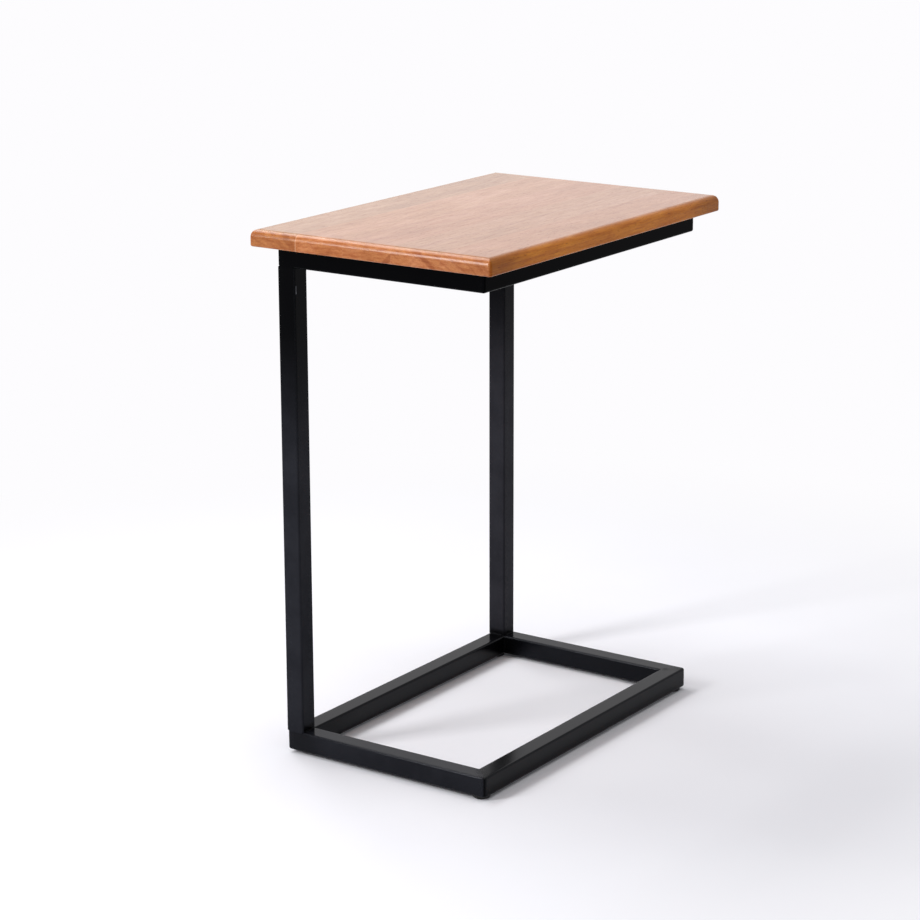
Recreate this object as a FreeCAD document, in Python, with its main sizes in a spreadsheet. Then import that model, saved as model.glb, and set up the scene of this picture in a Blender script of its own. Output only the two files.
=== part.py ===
import FreeCAD, Part
import math
import os
import Sketcher

# A C shaped side table, in millimetres.
# +Z is up, +X points to the open front of the C and +Y runs along the long side of the top.
# The origin is on the floor below the middle of the top. Left is -Y and right is +Y.

doc = FreeCAD.newDocument("cShapedSideTable")
sheet = doc.addObject("Spreadsheet::Sheet", "sizes")

drivingSizes = (
    ("tableHeight", 576, "floor to the face of the top"),
    ("topLength", 455, "wooden top along Y"),
    ("topWidth", 300, "wooden top along X"),
    ("topThickness", 18, "wooden top"),
    ("staveCount", 5, "staves glued side by side across the top"),
    ("upperEdgeRadius", 8, "routed rounding of the top's upper edge"),
    ("lowerEdgeRadius", 1.5, "eased lower edge of the top"),
    ("topCornerRadius", 2, "upright corners of the top, in plan"),
    ("endOverhang", 20, "top beyond the frame at the left and right ends"),
    ("sideOverhang", 21, "top beyond the frame at the front and rear"),
    ("tubeSize", 22, "square tube, outside"),
    ("tubeWall", 1.2, "square tube, wall"),
    ("boreRadius", 1, "square tube, corners of its bore"),
    ("uprightProud", 0.6, "uprights stand out behind the rear rails"),
    ("weldLeg", 1.6, "legs of a fillet weld bead"),
    ("weldCrown", 0.2, "rise of a fillet weld bead over the line between its legs"),
    ("weldEdge", 0.05, "thin edge of a weld that is ground flush"),
    ("glideDiameter", 18, "head of the foot glide"),
    ("glideHeight", 3.5, "head of the foot glide, which the table stands on"),
    ("glideBevel", 0.7, "bevelled lower edge of the glide's head"),
    ("rearGlideShift", 11, "rear glides from the middle of the corner, along the rear rail"),
    ("stemDiameter", 6, "stem of the glide"),
    ("rimDiameter", 7.4, "rim of the stem, which snaps in behind the tube's wall"),
    ("rimHeight", 2.5, "rim of the stem"),
    ("stemClearance", 0.1, "stem to its hole, radial, and rim to the wall"),
    ("screwCount", 2, "screws along each long rail"),
    ("screwInset", 57.5, "outermost screws from the ends of a long rail"),
    ("screwDiameter", 3.6, "shank of the top's fixing screws"),
    ("screwCover", 5, "wood left above the tip of a screw"),
    ("screwTip", 3, "pointed end of the screw"),
    ("headDiameter", 8, "pan head of the screw"),
    ("headHeight", 2.6, "pan head of the screw"),
    ("headBevel", 1.2, "bevelled rim of the pan head"),
    ("pilotClearance", 0.05, "screw to its pilot hole, radial, and below its tip"),
    ("wallClearance", 0.4, "screw to its hole in the upper wall, radial"),
    ("accessClearance", 1, "screw head to its way in through the lower wall, radial"),
)
for row, (alias, millimetres, meaning) in enumerate(drivingSizes, start=1):
    sheet.set(f"A{row}", alias)
    sheet.set(f"B{row}", str(millimetres))
    sheet.set(f"C{row}", meaning)
    sheet.setAlias(f"B{row}", alias)
doc.recompute()

# sizes that follow from the driving ones
frameLength = "(sizes.topLength - 2 * sizes.endOverhang)"
frameWidth = "(sizes.topWidth - 2 * sizes.sideOverhang)"
halfTube = "(sizes.tubeSize / 2)"
tubeRadius = "(sizes.boreRadius + sizes.tubeWall)"
boreSize = "(sizes.tubeSize - 2 * sizes.tubeWall)"
flatOfTube = f"(sizes.tubeSize - 2 * {tubeRadius})"
railY = f"({frameLength} / 2 - {halfTube})"
railX = f"({frameWidth} / 2 - {halfTube})"
uprightX = f"(-{railX} - sizes.uprightProud)"
baseTop = "(sizes.glideHeight + sizes.tubeSize)"
baseZ = f"(sizes.glideHeight + {halfTube})"
topUnderside = "(sizes.tableHeight - sizes.topThickness)"
upperBottom = f"({topUnderside} - sizes.tubeSize)"
upperZ = f"({topUnderside} - {halfTube})"
staveWidth = "(sizes.topWidth / sizes.staveCount)"
screwReach = "(sizes.topThickness - sizes.screwCover)"
stemHole = "(sizes.stemDiameter / 2 + sizes.stemClearance)"
rearGlideY = f"({railY} - sizes.rearGlideShift)"
pilotHole = "(sizes.screwDiameter / 2 + sizes.pilotClearance)"
wallHole = "(sizes.screwDiameter / 2 + sizes.wallClearance)"
accessHole = "(sizes.headDiameter / 2 + sizes.accessClearance)"


def number(expression):
    return float(sheet.evalExpression(expression))


def vector(x, y, z="0"):
    return FreeCAD.Vector(number(x), number(y), number(z))


# turns the piece about Z and ties its place to the sizes
def place(piece, x, y, z, turn=0):
    piece.Placement = FreeCAD.Placement(FreeCAD.Vector(), FreeCAD.Rotation(turn, 0, 0))
    for axis, expression in zip("xyz", (x, y, z)):
        piece.setExpression(f"Placement.Base.{axis}", expression)


def originFeature(body, role):
    return next(feature for feature in body.Origin.OriginFeatures if feature.Role == role)


def addSketch(body, name, plane):
    sketch = body.newObject("Sketcher::SketchObject", name)
    sketch.AttachmentSupport = (originFeature(body, plane), [""])
    sketch.MapMode = "FlatFace"
    return sketch


# adds a constraint whose size, the last argument, is an expression
def tie(sketch, kind, *arguments):
    *targets, expression = arguments
    index = sketch.addConstraint(Sketcher.Constraint(kind, *targets, number(expression)))
    sketch.setExpression(f"Constraints[{index}]", expression)


def tiePoint(sketch, geometry, end, x, y):
    tie(sketch, "DistanceX", -1, 1, geometry, end, x)
    tie(sketch, "DistanceY", -1, 1, geometry, end, y)


# a rectangle centred on the sketch's origin, with one radius for its upper and one for its lower corners
def addRoundedRectangle(sketch, width, height, upperRadius, lowerRadius):
    quarter = math.pi / 2
    arcs = []
    for index, radius in enumerate((lowerRadius, upperRadius, upperRadius, lowerRadius)):
        sideX = 1 if index < 2 else -1
        sideY = 1 if index in (1, 2) else -1
        centre = FreeCAD.Vector(
            sideX * (number(width) / 2 - number(radius)),
            sideY * (number(height) / 2 - number(radius)),
            0,
        )
        circle = Part.Circle(centre, FreeCAD.Vector(0, 0, 1), number(radius))
        arc = Part.ArcOfCircle(circle, (index - 1) * quarter, index * quarter)
        arcs.append(sketch.addGeometry(arc))
        tie(sketch, "Radius", arcs[-1], radius)
    lines = []
    for arc, following in zip(arcs, arcs[1:] + arcs[:1]):
        segment = Part.LineSegment(sketch.Geometry[arc].EndPoint, sketch.Geometry[following].StartPoint)
        line = sketch.addGeometry(segment)
        sketch.addConstraint(Sketcher.Constraint("Tangent", arc, 2, line, 1))
        sketch.addConstraint(Sketcher.Constraint("Tangent", line, 2, following, 1))
        lines.append(line)
    right, upper, left, lower = lines
    for line in (right, left):
        sketch.addConstraint(Sketcher.Constraint("Vertical", line))
    for line in (upper, lower):
        sketch.addConstraint(Sketcher.Constraint("Horizontal", line))
    tie(sketch, "DistanceX", -1, 1, right, 1, f"{width} / 2")
    tie(sketch, "DistanceX", -1, 1, left, 1, f"-{width} / 2")
    tie(sketch, "DistanceY", -1, 1, upper, 1, f"{height} / 2")
    tie(sketch, "DistanceY", -1, 1, lower, 1, f"-{height} / 2")


# A closed outline through the corners, each a pair of expressions. The stretch that starts at an index
# in arcs is an arc of that radius, which bulges to the left of the way round (1) or to the right (-1).
def addOutline(sketch, corners, arcs=None):
    stretches = []
    for index, corner in enumerate(corners):
        start = vector(*corner)
        end = vector(*corners[(index + 1) % len(corners)])
        if index not in (arcs or {}):
            stretches.append((sketch.addGeometry(Part.LineSegment(start, end)), 1, 2))
            continue
        radius, side = arcs[index]
        chord = end - start
        rise = number(radius) - math.sqrt(number(radius) ** 2 - (chord.Length / 2) ** 2)
        across = FreeCAD.Vector(-chord.y, chord.x, 0).normalize()
        crown = (start + end) / 2 + across * side * rise
        if side > 0:
            stretches.append((sketch.addGeometry(Part.Arc(end, crown, start)), 2, 1))
        else:
            stretches.append((sketch.addGeometry(Part.Arc(start, crown, end)), 1, 2))
        tie(sketch, "Radius", stretches[-1][0], radius)
    for index, (x, y) in enumerate(corners):
        geometry, start, end = stretches[index]
        before, beforeStart, beforeEnd = stretches[index - 1]
        sketch.addConstraint(Sketcher.Constraint("Coincident", before, beforeEnd, geometry, start))
        tiePoint(sketch, geometry, start, x, y)


def addCircle(sketch, x, y, radius):
    circle = Part.Circle(vector(x, y), FreeCAD.Vector(0, 0, 1), number(radius))
    index = sketch.addGeometry(circle)
    tie(sketch, "Radius", index, radius)
    tiePoint(sketch, index, 3, x, y)


def pad(body, sketch, length):
    feature = body.newObject("PartDesign::Pad", "pad")
    feature.Profile = sketch
    feature.SideType = "Symmetric"
    feature.setExpression("Length", length)
    doc.recompute()


# cuts through everything, or only from the middle of the tube upwards or downwards
def pocket(body, sketch, way="both"):
    before = body.Shape.Volume
    feature = body.newObject("PartDesign::Pocket", "pocket")
    feature.Profile = sketch
    feature.Type = "ThroughAll"
    if way == "both":
        feature.SideType = "Symmetric"
    else:
        feature.Reversed = way == "up"
    doc.recompute()
    if body.Shape.Volume >= before:
        raise RuntimeError(f"{feature.Label} cuts nothing from {body.Label}")


def revolve(body, sketch):
    feature = body.newObject("PartDesign::Revolution", "revolution")
    feature.Profile = sketch
    feature.ReferenceAxis = (originFeature(body, "Z_Axis"), [""])
    feature.Angle = 360
    doc.recompute()


# bevels the circle round the body's lowest face
def bevelLowestEdge(body, size):
    base = body.Tip
    lowestFace = min(base.Shape.Faces, key=lambda face: face.BoundBox.ZMax)
    rim = lowestFace.Edges[0]
    rims = [index for index, edge in enumerate(base.Shape.Edges, start=1) if edge.isSame(rim)]
    feature = body.newObject("PartDesign::Chamfer", "bevel")
    feature.Base = (base, [f"Edge{index}" for index in rims])
    feature.setExpression("Size", size)
    doc.recompute()


# a square tube centred on its body's origin and running square to the plane
def makeTube(name, length, plane):
    body = doc.addObject("PartDesign::Body", name)
    section = addSketch(body, "section", plane)
    addRoundedRectangle(section, "sizes.tubeSize", "sizes.tubeSize", tubeRadius, tubeRadius)
    addRoundedRectangle(section, boreSize, boreSize, "sizes.boreRadius", "sizes.boreRadius")
    pad(body, section, length)
    return body


# A rail along X with its long side at -Y. Both ends are mitred, and the sharp outer corner that two
# rails would make is ground as round as the tube's own corners.
def makeRail(name, length):
    body = makeTube(name, length, "YZ_Plane")
    mitres = addSketch(body, "mitres", "XY_Plane")
    spare = "sizes.tubeSize"
    outerY = f"-{halfTube}"
    arcDip = f"{tubeRadius} * (1 - sqrt(0.5))"
    for sign, side in (("", 1), ("-", -1)):
        outline = (
            (f"{sign}({length} / 2 - {arcDip})", f"{outerY} + {arcDip}"),
            (f"{sign}({length} / 2 - {tubeRadius})", outerY),
            (f"{sign}({length} / 2 - {tubeRadius})", f"{outerY} - {spare}"),
            (f"{sign}({length} / 2 + {spare})", f"{outerY} - {spare}"),
            (f"{sign}({length} / 2 + {spare})", f"{halfTube} + {spare}"),
            (f"{sign}({length} / 2 - sizes.tubeSize - {spare})", f"{halfTube} + {spare}"),
        )
        addOutline(mitres, outline, {0: (tubeRadius, side)})
    pocket(body, mitres)
    return body


# the four rails of a rectangle: name, turn about Z, length and place in plan
railSides = (
    ("left", 0, frameWidth, "0", f"-{railY}"),
    ("front", 90, frameLength, railX, "0"),
    ("right", 180, frameWidth, "0", railY),
    ("rear", 270, frameLength, f"-{railX}", "0"),
)


# places of the screws along each long rail, measured from its middle
screwSpread = f"({frameLength} - 2 * sizes.screwInset)"
screwOffsets = [
    f"({index} / (sizes.screwCount - 1) - 1 / 2) * {screwSpread}"
    for index in range(int(number("sizes.screwCount")))
]

# The glides' holes along each lower rail, measured from its middle. A front glide stands under the mitre
# and takes half a hole from each of its two rails, and both rear glides stand under the rear rail alone.
stemOffsets = {
    "left": (railX,),
    "front": (railY, f"-{railY}"),
    "right": (f"-{railX}",),
    "rear": (rearGlideY, f"-{rearGlideY}"),
}

# lower rectangle: four rails with the glides' holes in their lower walls
baseRails = []
for side, turn, length, x, y in railSides:
    rail = makeRail(f"base_rail_{side}", length)
    stemHoles = addSketch(rail, "stemHoles", "XY_Plane")
    for offset in stemOffsets[side]:
        addCircle(stemHoles, offset, "0", stemHole)
    pocket(rail, stemHoles, "down")
    place(rail, x, y, baseZ, turn)
    baseRails.append(rail)


# clearance holes for the screws in the upper wall, and wider holes below them that let the heads in
def drillForScrews(rail):
    for name, radius, way in (("wallHoles", wallHole, "up"), ("accessHoles", accessHole, "down")):
        holes = addSketch(rail, name, "XY_Plane")
        for offset in screwOffsets:
            addCircle(holes, offset, "0", radius)
        pocket(rail, holes, way)


# upper rectangle: four rails, whose two long ones are screwed to the top
topRails = []
for side, turn, length, x, y in railSides:
    rail = makeRail(f"top_rail_{side}", length)
    if side in ("front", "rear"):
        drillForScrews(rail)
    place(rail, x, y, upperZ, turn)
    topRails.append(rail)

# uprights, butted between the two rectangles at their rear corners
uprights = []
for name, y in (("upright_left", f"-{railY}"), ("upright_right", railY)):
    upright = makeTube(name, f"{upperBottom} - {baseTop}", "XY_Plane")
    place(upright, uprightX, y, f"({baseTop} + {upperBottom}) / 2")
    uprights.append(upright)


# a foot glide: a round head below the tube, and a stem through the hole with a rim that snaps in
def makeGlide(name):
    glide = doc.addObject("PartDesign::Body", name)
    profile = addSketch(glide, "profile", "XZ_Plane")
    shoulder = "sizes.glideHeight + sizes.tubeWall + sizes.stemClearance"
    rimTop = f"{shoulder} + sizes.rimHeight"
    addOutline(profile, (
        ("0", "0"),
        ("sizes.glideDiameter / 2", "0"),
        ("sizes.glideDiameter / 2", "sizes.glideHeight"),
        ("sizes.stemDiameter / 2", "sizes.glideHeight"),
        ("sizes.stemDiameter / 2", shoulder),
        ("sizes.rimDiameter / 2", shoulder),
        ("sizes.rimDiameter / 2", rimTop),
        ("0", rimTop),
    ))
    revolve(glide, profile)
    bevelLowestEdge(glide, "sizes.glideBevel")
    return glide


glides = []
for end, x, y in (("front", railX, railY), ("rear", f"-{railX}", rearGlideY)):
    for side, sign in (("left", "-"), ("right", "")):
        glide = makeGlide(f"glide_{end}_{side}")
        place(glide, x, f"{sign}{y}", "0")
        glides.append(glide)


# one of the three outlines of the top, drawn as it looks along an axis and drawn out along that axis
def makeOutlineBlock(name, width, height, radii, depth, tilt):
    sketch = doc.addObject("Sketcher::SketchObject", name)
    addRoundedRectangle(sketch, width, height, *radii)
    sketch.Placement = FreeCAD.Placement(FreeCAD.Vector(), tilt)
    block = doc.addObject("Part::Extrusion", f"{name}Block")
    block.Base = sketch
    block.DirMode = "Normal"
    block.Solid = True
    block.Symmetric = True
    block.setExpression("LengthFwd", depth)
    return block


# the panel is what the three outlines have in common, so its routed edges meet in mitres at the corners
edgeRadii = ("sizes.upperEdgeRadius", "sizes.lowerEdgeRadius")
cornerRadii = ("sizes.topCornerRadius", "sizes.topCornerRadius")
seenFromEnd = FreeCAD.Rotation(0, 0, 90)
seenFromSide = FreeCAD.Rotation(90, 0, 90)
panel = doc.addObject("Part::MultiCommon", "panel")
panel.Shapes = [
    makeOutlineBlock("plan", "sizes.topWidth", "sizes.topLength", cornerRadii,
                     "sizes.topThickness", FreeCAD.Rotation()),
    makeOutlineBlock("endView", "sizes.topWidth", "sizes.topThickness", edgeRadii,
                     "sizes.topLength", seenFromEnd),
    makeOutlineBlock("sideView", "sizes.topLength", "sizes.topThickness", edgeRadii,
                     "sizes.topWidth", seenFromSide),
]
place(panel, "0", "0", "sizes.tableHeight - sizes.topThickness / 2")

# where the screws stand in plan
screwPlaces = [(x, y) for x in (railX, f"-{railX}") for y in screwOffsets]

pilots = []
for x, y in screwPlaces:
    pilot = doc.addObject("Part::Cylinder", "pilot")
    pilot.setExpression("Radius", pilotHole)
    pilot.setExpression("Height", f"{screwReach} + sizes.pilotClearance")
    place(pilot, x, y, topUnderside)
    pilots.append(pilot)
pilotGroup = doc.addObject("Part::Compound", "pilots")
pilotGroup.Links = pilots
drilledPanel = doc.addObject("Part::Cut", "drilledPanel")
drilledPanel.Base = panel
drilledPanel.Tool = pilotGroup

staves = []
for index in range(int(number("sizes.staveCount"))):
    slot = doc.addObject("Part::Box", "staveSlot")
    slot.setExpression("Length", staveWidth)
    slot.setExpression("Width", "2 * sizes.topLength")
    slot.setExpression("Height", "2 * sizes.topThickness")
    place(slot, f"{index} * {staveWidth} - sizes.topWidth / 2", "-sizes.topLength",
          f"{topUnderside} - sizes.topThickness / 2")
    stave = doc.addObject("Part::Common", f"top_stave_{index + 1}")
    stave.Base = drilledPanel
    stave.Tool = slot
    staves.append(stave)

# pan head screw: its head bears on the inside of the tube's upper wall, at its own z = 0
screwMaster = doc.addObject("PartDesign::Body", "screwMaster")
screwProfile = addSketch(screwMaster, "profile", "XZ_Plane")
screwTop = f"sizes.tubeWall + {screwReach}"
addOutline(screwProfile, (
    ("0", "-sizes.headHeight"),
    ("sizes.headDiameter / 2", "-sizes.headHeight"),
    ("sizes.headDiameter / 2", "0"),
    ("sizes.screwDiameter / 2", "0"),
    ("sizes.screwDiameter / 2", f"{screwTop} - sizes.screwTip"),
    ("0", screwTop),
))
revolve(screwMaster, screwProfile)
bevelLowestEdge(screwMaster, "sizes.headBevel")

# fillet bead: sits in the corner between its +Y and +Z legs and runs along X over the flat of a tube
beadMaster = doc.addObject("PartDesign::Body", "beadMaster")
beadProfile = addSketch(beadMaster, "profile", "YZ_Plane")
beadCorners = (("0", "0"), ("sizes.weldLeg", "0"), ("0", "sizes.weldLeg"))
crownRadius = "(sizes.weldLeg ^ 2 / 2 + sizes.weldCrown ^ 2) / (2 * sizes.weldCrown)"
addOutline(beadProfile, beadCorners, {1: (crownRadius, -1)})
pad(beadMaster, beadProfile, flatOfTube)

# flush weld: fills the groove that a tube's rounded corner leaves under a flat end, ground level outside
flushMaster = doc.addObject("PartDesign::Body", "flushMaster")
flushProfile = addSketch(flushMaster, "profile", "YZ_Plane")
grooveReach = f"{tubeRadius} - sqrt(sizes.weldEdge * (2 * {tubeRadius} - sizes.weldEdge))"
flushCorners = (
    ("0", "0"),
    (grooveReach, "0"),
    (grooveReach, "sizes.weldEdge"),
    ("sizes.weldEdge", grooveReach),
    ("0", grooveReach),
)
addOutline(flushProfile, flushCorners, {2: (tubeRadius, 1)})
pad(flushMaster, flushProfile, flatOfTube)


# separate copies of the master's shape in one group
def makeGroup(name, master, placements):
    copies = []
    for placement in placements:
        copy = master.Shape.copy()
        copy.Placement = placement
        copies.append(copy)
    group = doc.addObject("Part::Feature", name)
    group.Shape = Part.makeCompound(copies)
    return group


# puts a weld at a point, with its two legs along the given directions
def weldPlacement(position, firstLeg, secondLeg):
    turn = FreeCAD.Rotation(firstLeg.cross(secondLeg), firstLeg, secondLeg, "XYZ")
    return FreeCAD.Placement(position, turn)


forward = FreeCAD.Vector(1, 0, 0)
sideways = FreeCAD.Vector(0, 1, 0)
upward = FreeCAD.Vector(0, 0, 1)
tubeFace = number(halfTube)

screwSeat = f"{topUnderside} - sizes.tubeWall"
topScrews = makeGroup("top_screws", screwMaster, [
    FreeCAD.Placement(vector(x, y, screwSeat), FreeCAD.Rotation())
    for x, y in screwPlaces
])

# At each end of an upright, beads run along its front and the face that looks to the other upright,
# and flush welds along the two outer faces of the rectangle.
uprightBeads = []
flushWelds = []
for y, inward in ((f"-{railY}", sideways), (railY, -sideways)):
    for z, away in ((baseTop, upward), (upperBottom, -upward)):
        foot = vector(uprightX, y, z)
        uprightBeads.append(weldPlacement(foot + forward * tubeFace, forward, away))
        uprightBeads.append(weldPlacement(foot + inward * tubeFace, inward, away))
        corner = vector(f"-{railX}", y, z)
        flushWelds.append(weldPlacement(corner - forward * tubeFace, forward, -away))
        flushWelds.append(weldPlacement(corner - inward * tubeFace, inward, -away))
uprightBeadGroup = makeGroup("upright_weld_beads", beadMaster, uprightBeads)
flushWeldGroup = makeGroup("upright_flush_welds", flushMaster, flushWelds)

# one bead up the inner corner of each mitre
mitreBeads = []
for z in (baseZ, upperZ):
    for x, backward in ((railX, -forward), (f"-{railX}", forward)):
        for y, inward in ((f"-{railY}", sideways), (railY, -sideways)):
            innerCorner = vector(x, y, z) + (backward + inward) * tubeFace
            mitreBeads.append(weldPlacement(innerCorner, backward, inward))
mitreBeadGroup = makeGroup("mitre_weld_beads", beadMaster, mitreBeads)

doc.recompute()
for item in doc.Objects:
    if "Invalid" in item.State or "Error" in item.State:
        raise RuntimeError(f"{item.Label} failed: {item.State}")

groups = [topScrews, uprightBeadGroup, flushWeldGroup, mitreBeadGroup]
pieces = staves + topRails + uprights + baseRails + glides + groups
for piece in pieces:
    if piece.Shape.isNull() or not piece.Shape.isValid():
        raise RuntimeError(f"{piece.Label} has no valid shape")

os.makedirs("parts", exist_ok=True)
for piece in pieces:
    piece.Shape.exportStep(f"parts/{piece.Label}.step")
    print(f"{piece.Label}: {len(piece.Shape.Solids)} solids, {piece.Shape.Volume:.1f} mm3")
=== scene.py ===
import math
import bmesh
import bpy
from mathutils import Matrix, Vector


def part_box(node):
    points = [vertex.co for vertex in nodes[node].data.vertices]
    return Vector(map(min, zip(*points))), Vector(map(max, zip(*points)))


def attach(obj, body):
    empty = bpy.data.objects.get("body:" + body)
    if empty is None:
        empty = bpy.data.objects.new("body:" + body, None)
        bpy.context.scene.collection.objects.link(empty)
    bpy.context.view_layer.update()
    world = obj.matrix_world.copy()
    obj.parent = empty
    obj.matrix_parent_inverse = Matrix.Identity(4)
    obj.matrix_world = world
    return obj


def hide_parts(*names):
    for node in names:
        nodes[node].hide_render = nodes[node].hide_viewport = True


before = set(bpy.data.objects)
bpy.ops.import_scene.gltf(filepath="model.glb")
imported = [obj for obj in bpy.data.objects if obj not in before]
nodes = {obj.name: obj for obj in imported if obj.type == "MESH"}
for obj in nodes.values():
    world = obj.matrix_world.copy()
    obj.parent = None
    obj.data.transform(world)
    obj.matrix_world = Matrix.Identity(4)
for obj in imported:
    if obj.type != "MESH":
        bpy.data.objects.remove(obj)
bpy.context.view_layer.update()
print("frame loaded:", len(nodes), "nodes")

mm = 0.001
# faces of the steel frame, in mm from the middle of the table; the uprights stand a little proud behind
frameHalf = (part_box("base_rail_front")[1].x / mm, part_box("base_rail_right")[1].y / mm)
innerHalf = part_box("base_rail_front")[0].x / mm
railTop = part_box("base_rail_rear")[1].z / mm
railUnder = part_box("top_rail_rear")[0].z / mm
uprightRear, uprightFace = (corner.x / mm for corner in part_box("upright_left"))
uprightOuter, uprightSide = (-corner.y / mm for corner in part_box("upright_left"))
glideNodes = sorted(n for n in nodes if n.startswith("glide"))


def linearColour(hexText):
    channels = [int(hexText[i:i + 2], 16) / 255 for i in (1, 3, 5)]
    return [c / 12.92 if c <= 0.04045 else ((c + 0.055) / 1.055) ** 2.4 for c in channels] + [1.0]


def firstOutput(node):
    return next(output for output in node.outputs if output.enabled)


# adds a node with its settings: each input, by its name or number, has a value, a hex colour, a socket or
# another node, which stands for that node's first output in use
def addNode(tree, kind, inputs=(), **settings):
    node = tree.nodes.new("ShaderNode" + kind)
    for key, value in settings.items():
        setattr(node, key, value)
    for key, value in (inputs if isinstance(inputs, dict) else dict(enumerate(inputs))).items():
        if isinstance(value, bpy.types.Node):
            value = firstOutput(value)
        if isinstance(value, bpy.types.NodeSocket):
            tree.links.new(value, node.inputs[key])
        else:
            node.inputs[key].default_value = linearColour(value) if isinstance(value, str) else value
    return node


# settings that many nodes share
soft = {"interpolation_type": "SMOOTHSTEP"}
blend = {"data_type": "RGBA", "blend_type": "MIX"}
stain = {"data_type": "RGBA", "blend_type": "MULTIPLY"}


# gives a colour ramp its stops, each a place and a colour
def setStops(ramp, stops):
    elements = ramp.color_ramp.elements
    for element, (position, colour) in zip(elements, (stops[0], stops[-1])):
        element.position, element.color = position, colour
    for position, colour in stops[1:-1]:
        elements.new(position).color = colour


# an empty material with one shader, whose constant values sit on its own sockets
def startMaterial(name, values):
    material = bpy.data.materials.new(name)
    material.use_nodes = True
    tree = material.node_tree
    tree.nodes.clear()
    shader = addNode(tree, "BsdfPrincipled", values)
    addNode(tree, "OutputMaterial", {"Surface": shader})
    return material, tree, shader


# links what was worked out to the shader's sockets
def finishMaterial(tree, shader, links):
    for socket, source in links.items():
        tree.links.new(firstOutput(source), shader.inputs[socket])


# each seed and each pattern takes its noise from another spot, this far on
seedStep = (31.7, 17.9, 23.3)
patternStep = (7.3, 3.1, -5.7)


# the place in mm, and one noise for each pattern: its size across x, y and z in mm, detail, roughness
def addPatterns(tree, patterns, seed):
    place = addNode(tree, "VectorMath", {0: addNode(tree, "TexCoord").outputs["Object"], "Scale": 1 / mm},
                    operation="SCALE")
    found = {}
    for index, (name, (sizes, detail, roughness)) in enumerate(patterns.items()):
        shift = [seed * forSeed + index * forPattern for forSeed, forPattern in zip(seedStep, patternStep)]
        spot = addNode(tree, "Mapping", {"Vector": place, "Location": shift,
                                         "Scale": [1 / size for size in sizes]})
        found[name] = addNode(tree, "TexNoise", {"Vector": spot, "Scale": 1.0, "Detail": detail,
                                                 "Roughness": roughness})
    return place, found


# 1 for what the camera sees by itself, in a shine or through glass
def seenDirectly(tree):
    path = addNode(tree, "LightPath").outputs
    seen = addNode(tree, "Math", (path["Is Camera Ray"], path["Is Glossy Ray"]), operation="MAXIMUM")
    return addNode(tree, "Math", (seen, path["Is Transmission Ray"]), operation="MAXIMUM")


def addObject(name, data):
    thing = bpy.data.objects.new(name, data)
    bpy.context.scene.collection.objects.link(thing)
    return thing


def makeMesh(name, bm):
    mesh = bpy.data.meshes.new(name)
    bm.to_mesh(mesh)
    bm.free()
    return mesh


# faces from each loop of points to the next one
def joinLoops(bm, loops):
    for first, second in zip(loops, loops[1:]):
        for index in range(len(first)):
            following = (index + 1) % len(first)
            bm.faces.new((first[index], first[following], second[following], second[index]))


# turns what is in bm into a piece of the table
def newPiece(name, bm, material, replaced=()):
    bmesh.ops.recalc_face_normals(bm, faces=bm.faces)
    mesh = makeMesh(name, bm)
    for polygon in mesh.polygons:
        polygon.use_smooth = True
    mesh.materials.append(material)
    piece = addObject(name, mesh)
    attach(piece, "root")
    if replaced:
        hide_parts(*replaced)
    return piece


# sharp edges where two faces meet at more than this many degrees
def markEdges(bm, limit=40):
    for edge in bm.edges:
        edge.smooth = edge.calc_face_angle(0) < math.radians(limit)


# holes for the screws that hold the top, which go up through the front and rear rails, and for the
# glides' stems; places are from the middle of the table
holes = {
    "screwX": (innerHalf + frameHalf[0]) / 2,
    "screwY": 150.0,
    "pilotRadius": 1.85,
    "pilotDepth": 13.05,
    "accessRadius": 5.0,     # lets a screwdriver in from below
    "shankRadius": 2.2,
    "stemRadius": 3.1,
    "throughWall": 4.0,
    "sides": 32,
}


# cuts round holes into a piece: each is its middle, radius and depth
def drill(piece, cuts):
    bits = bmesh.new()
    for centre, radius, depth in cuts:
        bmesh.ops.create_cone(bits, cap_ends=True, segments=holes["sides"], radius1=radius * mm,
                              radius2=radius * mm, depth=depth * mm,
                              matrix=Matrix.Translation(Vector(centre) * mm))
    bit = addObject("drill", makeMesh("drill", bits))
    cut = piece.modifiers.new("holes", "BOOLEAN")
    cut.operation = "DIFFERENCE"
    cut.solver = "EXACT"
    cut.object = bit
    drilled = bpy.data.meshes.new_from_object(piece.evaluated_get(bpy.context.evaluated_depsgraph_get()))
    piece.modifiers.remove(cut)
    bpy.data.objects.remove(bit)
    bm = bmesh.new()
    bm.from_mesh(drilled)
    markEdges(bm)
    bm.to_mesh(drilled)
    bm.free()
    piece.data = drilled


# camera: a long lens about a metre up, looking down at the left front corner
view = {
    "lens": 106.13,
    "sensor": 36.0,
    "place": (1.5922, -2.3806, 1.0731),
    "yaw": 34.487,
    "pitch": 15.085,
    "roll": -0.187,
}
yaw, pitch, roll = (math.radians(view[key]) for key in ("yaw", "pitch", "roll"))
level = Vector((math.cos(yaw), math.sin(yaw), 0))
ahead = Vector((-math.sin(yaw), math.cos(yaw), 0))
up = Vector((0, 0, 1))
forward = ahead * math.cos(pitch) - up * math.sin(pitch)
above = ahead * math.sin(pitch) + up * math.cos(pitch)
right = level * math.cos(roll) + above * math.sin(roll)
above = above * math.cos(roll) - level * math.sin(roll)
turned = Matrix((right, above, -forward)).transposed().to_4x4()
camera = addObject("camera", bpy.data.cameras.new("camera"))
camera.data.lens = view["lens"]
camera.data.sensor_width = view["sensor"]
camera.matrix_world = Matrix.Translation(view["place"]) @ turned
bpy.context.scene.camera = camera
print("camera placed")

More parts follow.
